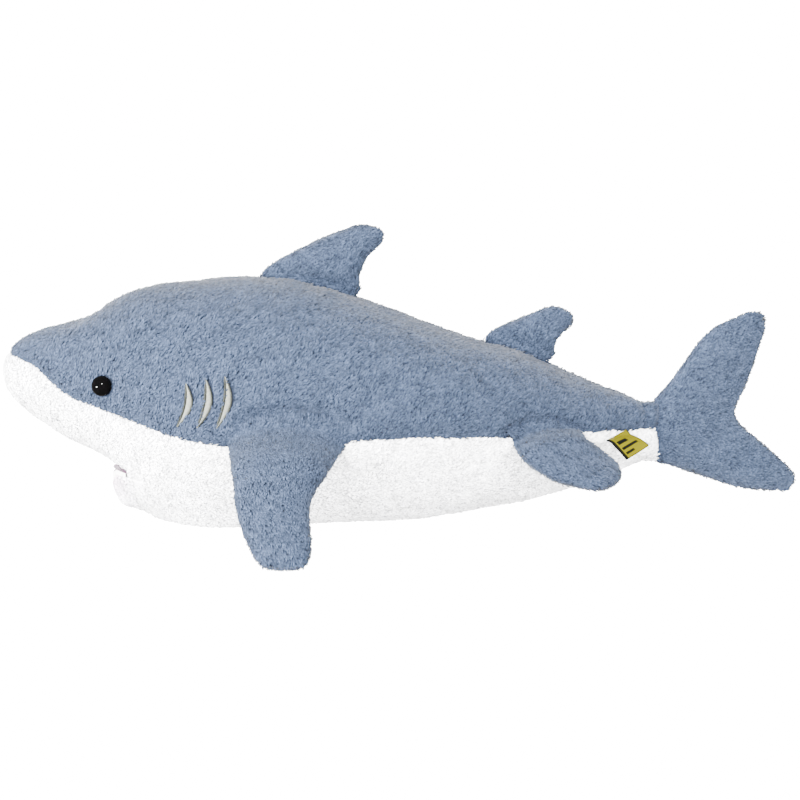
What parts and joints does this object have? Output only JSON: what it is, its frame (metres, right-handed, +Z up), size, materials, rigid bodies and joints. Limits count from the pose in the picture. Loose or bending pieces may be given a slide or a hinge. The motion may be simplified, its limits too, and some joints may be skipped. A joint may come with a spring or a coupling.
{
  "type": "plush shark",
  "caption": "Stuffed toy shark lying on its belly, blue-grey above and white below, with fins that bend at their seams.",
  "frame": {"origin": "on the floor under the middle of the shark's bounding box", "axes": "+X towards the tail, nose towards -X, +Z up; the shark's left side faces -Y"},
  "size_m": [0.5978, 0.372, 0.2191],
  "materials": {
    "blue_plush": "short dense blue-grey plush pile, tufted, matt",
    "white_plush": "short dense white plush pile, matt",
    "fibre_filling": "white polyester fibre filling",
    "mouth_felt": "thin mauve felt",
    "tooth_felt": "white felt",
    "eye_plastic": "glossy black moulded plastic",
    "washer_plastic": "plain white moulded plastic",
    "gill_embroidery": "pale grey satin-stitch thread with an olive outline",
    "label_satin": "yellow woven satin with a black edge"
  },
  "bodies": {
    "torso": {"body_stuffing": "fibre_filling", "upper_skin_left": "blue_plush", "upper_skin_right": "blue_plush", "belly_skin": "white_plush", "snout_skin": "white_plush", "chin_skin": "white_plush", "chin_stuffing": "fibre_filling", "mouth_lining": "mouth_felt", "upper_teeth": "tooth_felt", "lower_teeth": "tooth_felt", "left_eye": "eye_plastic", "right_eye": "eye_plastic", "left_eye_washer": "washer_plastic", "right_eye_washer": "washer_plastic", "left_gill_patches": "gill_embroidery", "right_gill_patches": "gill_embroidery"},
    "front_dorsal": {"front_dorsal_skin_left": "blue_plush", "front_dorsal_skin_right": "blue_plush", "front_dorsal_stuffing": "fibre_filling"},
    "rear_dorsal": {"rear_dorsal_skin_left": "blue_plush", "rear_dorsal_skin_right": "blue_plush", "rear_dorsal_stuffing": "fibre_filling"},
    "left_pectoral": {"left_pectoral_outer_skin": "blue_plush", "left_pectoral_inner_skin": "blue_plush", "left_pectoral_stuffing": "fibre_filling"},
    "right_pectoral": {"right_pectoral_outer_skin": "blue_plush", "right_pectoral_inner_skin": "blue_plush", "right_pectoral_stuffing": "fibre_filling"},
    "left_pelvic": {"left_pelvic_outer_skin": "blue_plush", "left_pelvic_inner_skin": "blue_plush", "left_pelvic_stuffing": "fibre_filling"},
    "right_pelvic": {"right_pelvic_outer_skin": "blue_plush", "right_pelvic_inner_skin": "blue_plush", "right_pelvic_stuffing": "fibre_filling"},
    "tail": {"tail_skin_left": "blue_plush", "tail_skin_right": "blue_plush", "tail_stuffing": "fibre_filling"},
    "label": {"side_label": "label_satin"}
  },
  "joints": [
    {"name": "tail_swing", "type": "hinge", "parent": "torso", "child": "tail", "pos_m": [0.191, 0, 0.064], "axis": [0, 0, 1], "range_deg": [-35, 35], "stiffness_Nm_per_rad": 0.3},
    {"name": "left_pectoral_flap", "type": "hinge", "parent": "torso", "child": "left_pectoral", "pos_m": [-0.078, -0.092, 0.08], "axis": [-1, 0, 0], "range_deg": [-15, 45], "stiffness_Nm_per_rad": 0.1},
    {"name": "right_pectoral_flap", "type": "hinge", "parent": "torso", "child": "right_pectoral", "pos_m": [-0.078, 0.092, 0.08], "axis": [1, 0, 0], "range_deg": [-15, 45], "stiffness_Nm_per_rad": 0.1},
    {"name": "left_pelvic_flap", "type": "hinge", "parent": "torso", "child": "left_pelvic", "pos_m": [0.1045, -0.0565, 0.07], "axis": [-0.9367, -0.3502, 0], "range_deg": [-10, 40], "stiffness_Nm_per_rad": 0.05},
    {"name": "right_pelvic_flap", "type": "hinge", "parent": "torso", "child": "right_pelvic", "pos_m": [0.1045, 0.0565, 0.07], "axis": [0.9367, -0.3502, 0], "range_deg": [-10, 40], "stiffness_Nm_per_rad": 0.05},
    {"name": "front_dorsal_lean", "type": "hinge", "parent": "torso", "child": "front_dorsal", "pos_m": [-0.101, 0, 0.1868], "axis": [0.9755, 0, -0.2198], "range_deg": [-30, 30], "stiffness_Nm_per_rad": 0.1},
    {"name": "rear_dorsal_lean", "type": "hinge", "parent": "torso", "child": "rear_dorsal", "pos_m": [0.067, 0, 0.1387], "axis": [0.9464, 0, -0.3229], "range_deg": [-30, 30], "stiffness_Nm_per_rad": 0.05},
    {"name": "label_flap", "type": "hinge", "parent": "torso", "child": "label", "pos_m": [0.161, -0.03384, 0.069], "axis": [-0.7345, -0.6076, -0.3023], "range_deg": [0, 60], "stiffness_Nm_per_rad": 0.002}
  ]
}
